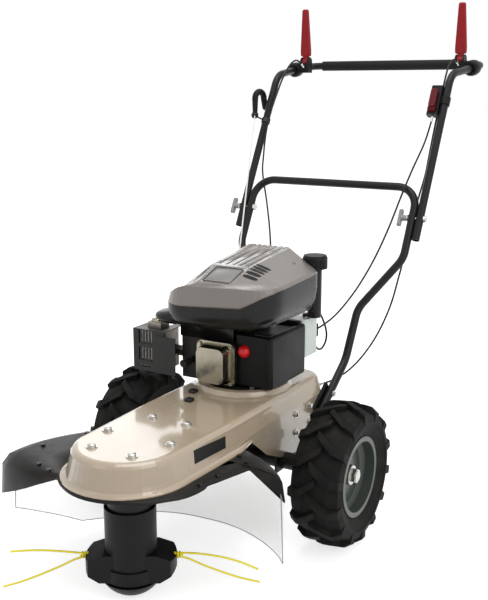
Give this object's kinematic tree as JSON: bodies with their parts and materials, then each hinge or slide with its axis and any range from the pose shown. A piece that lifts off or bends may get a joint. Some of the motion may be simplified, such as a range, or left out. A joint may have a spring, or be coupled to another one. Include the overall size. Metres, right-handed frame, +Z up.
{
  "type": "wheeled string trimmer",
  "caption": "Walk-behind petrol string trimmer: spinning nylon-line head on a glide dome, pressed deck with guard, upright-shaft engine, driven bar-tread wheels and folding tube handle.",
  "frame": {"origin": "on the ground under the cutting spindle, at the middle of the glide dome's flat bottom", "axes": "+Z up, +Y from the cutting head back to the handle, +X to the operator's left"},
  "size_m": [0.672, 1.4967, 1.251],
  "materials": {
    "cream_paint": "gloss",
    "black_paint": "satin",
    "dark_paint": "satin",
    "zinc": "bright zinc",
    "dark_steel": "blackened",
    "bright_steel": "polished",
    "cast_alloy": "as cast",
    "cast_black": "painted casting",
    "hot_steel": "heat dulled",
    "black_plastic": "textured",
    "grey_plastic": "satin metallic",
    "clear_plastic": "clear",
    "tank_plastic": "translucent",
    "red_plastic": "gloss",
    "knob_plastic": "grey",
    "line_nylon": "smooth",
    "belt_rubber": "matte",
    "red_rubber": "satin",
    "foam": "matte foam",
    "tyre": "matte",
    "rope": "braided"
  },
  "bodies": {
    "chassis": {"deck": "cream_paint", "frame_bolts": "zinc", "guard": "black_plastic", "curtain": "clear_plastic", "guard_bolts": "dark_steel", "spindle_housing": "black_paint", "spindle_bearings": "zinc", "head_belt": "belt_rubber", "drive_belt": "belt_rubber", "engine_block": "cast_alloy", "valve_cover": "bright_steel", "muffler": "hot_steel", "muffler_guard": "black_paint", "blower_shroud": "black_plastic", "engine_cover": "grey_plastic", "air_filter_box": "black_plastic", "carburettor": "cast_alloy", "fuel_tank": "tank_plastic", "fuel_hose": "belt_rubber", "spark_plug": "black_plastic", "gearbox": "cast_black", "axle_brackets": "black_paint", "lower_handle": "black_paint", "cable_clutch": "belt_rubber", "cable_drive": "belt_rubber", "cable_throttle": "belt_rubber", "starter_rope": "rope"},
    "handle": {"upper_handle": "black_paint", "grip": "foam", "lever_clamps": "black_plastic", "throttle_housing": "black_plastic", "rope_guide": "dark_steel", "cables_upper": "belt_rubber", "starter_rope_upper": "rope"},
    "wheel_left": {"tyre_left": "tyre", "rim_left": "dark_paint"},
    "wheel_right": {"tyre_right": "tyre", "rim_right": "dark_paint"},
    "axle_shaft": {"axle": "zinc", "axle_nuts": "zinc"},
    "crank": {"crankshaft": "zinc", "flywheel": "cast_alloy", "engine_pulley": "dark_steel"},
    "gearbox_input": {"drive_pulley": "dark_steel"},
    "head": {"spindle_shaft": "zinc", "spindle_pulley": "dark_steel", "head_drum": "black_plastic", "line_holder": "black_plastic", "line_left": "line_nylon", "line_right": "line_nylon"},
    "dome": {"glide_dome": "black_plastic"},
    "drive_lever": {"lever_left": "red_plastic"},
    "clutch_lever": {"lever_right": "red_plastic"},
    "throttle": {"throttle_lever": "red_plastic"},
    "wing_knob_left": {"knob_left": "knob_plastic"},
    "wing_knob_right": {"knob_right": "knob_plastic"},
    "primer": {"primer_bulb": "red_rubber"},
    "tank_cap": {"fuel_cap": "black_plastic"},
    "pull_grip": {"starter_grip": "black_plastic"},
    "idler": {"idler_arm": "zinc"}
  },
  "joints": [
    {"name": "axle_spin", "type": "hinge", "parent": "chassis", "child": "axle_shaft", "pos_m": [0, 0.424, 0.165], "axis": [1, 0, 0], "continuous": true},
    {"name": "wheel_left_spin", "type": "hinge", "parent": "axle_shaft", "child": "wheel_left", "pos_m": [0.276, 0.424, 0.165], "axis": [1, 0, 0], "continuous": true},
    {"name": "wheel_right_spin", "type": "hinge", "parent": "axle_shaft", "child": "wheel_right", "pos_m": [-0.276, 0.424, 0.165], "axis": [1, 0, 0], "continuous": true},
    {"name": "crank_spin", "type": "hinge", "parent": "chassis", "child": "crank", "pos_m": [0, 0.454, 0.4], "axis": [0, 0, 1], "continuous": true},
    {"name": "head_spin", "type": "hinge", "parent": "chassis", "child": "head", "pos_m": [0, 0, 0.2], "axis": [0, 0, 1], "continuous": true},
    {"name": "input_spin", "type": "hinge", "parent": "chassis", "child": "gearbox_input", "pos_m": [0, 0.336, 0.24], "axis": [0, 0, 1], "continuous": true},
    {"name": "dome_spin", "type": "hinge", "parent": "head", "child": "dome", "pos_m": [0, 0, 0.02], "axis": [0, 0, 1], "continuous": true},
    {"name": "handle_fold", "type": "hinge", "parent": "chassis", "child": "handle", "pos_m": [0, 0.905, 0.688], "axis": [1, 0, 0], "range_deg": [0, 130]},
    {"name": "clutch_pull", "type": "hinge", "parent": "handle", "child": "clutch_lever", "pos_m": [-0.243, 1.242, 1.096], "axis": [-1, 0, 0], "range_deg": [0, 60], "stiffness_Nm_per_rad": 1.5},
    {"name": "drive_pull", "type": "hinge", "parent": "handle", "child": "drive_lever", "pos_m": [0.243, 1.242, 1.096], "axis": [-1, 0, 0], "range_deg": [0, 60], "stiffness_Nm_per_rad": 1.5},
    {"name": "throttle_swing", "type": "hinge", "parent": "handle", "child": "throttle", "pos_m": [0.2384, 1.03896, 0.96664], "axis": [1, 0, 0], "range_deg": [0, 40]},
    {"name": "knob_left_turn", "type": "hinge", "parent": "chassis", "child": "wing_knob_left", "pos_m": [0.22, 0.905, 0.688], "axis": [1, 0, 0], "continuous": true},
    {"name": "knob_right_turn", "type": "hinge", "parent": "chassis", "child": "wing_knob_right", "pos_m": [-0.292, 0.905, 0.688], "axis": [1, 0, 0], "continuous": true},
    {"name": "primer_press", "type": "slide", "parent": "chassis", "child": "primer", "axis": [0, 1, 0], "range_m": [0, 0.005], "stiffness_N_per_m": 400},
    {"name": "fuel_cap_turn", "type": "hinge", "parent": "chassis", "child": "tank_cap", "pos_m": [0.118, 0.594, 0.605], "axis": [0, 0, 1], "continuous": true},
    {"name": "starter_pull", "type": "slide", "parent": "handle", "child": "pull_grip", "axis": [-0.3408, 0.7314, 0.5907], "range_m": [0, 0.45], "stiffness_N_per_m": 25},
    {"name": "idler_swing", "type": "hinge", "parent": "chassis", "child": "idler", "pos_m": [-0.064, 0.332, 0.29], "axis": [0, 0, 1], "range_deg": [0, 15]}
  ],
  "couplings": [
    {"joint": "head_spin", "follows": "crank_spin", "ratio": 0.90476},
    {"joint": "input_spin", "follows": "crank_spin", "ratio": 0.66667},
    {"joint": "axle_spin", "follows": "crank_spin", "ratio": 0.033333},
    {"joint": "idler_swing", "follows": "clutch_pull", "ratio": 0.25}
  ]
}
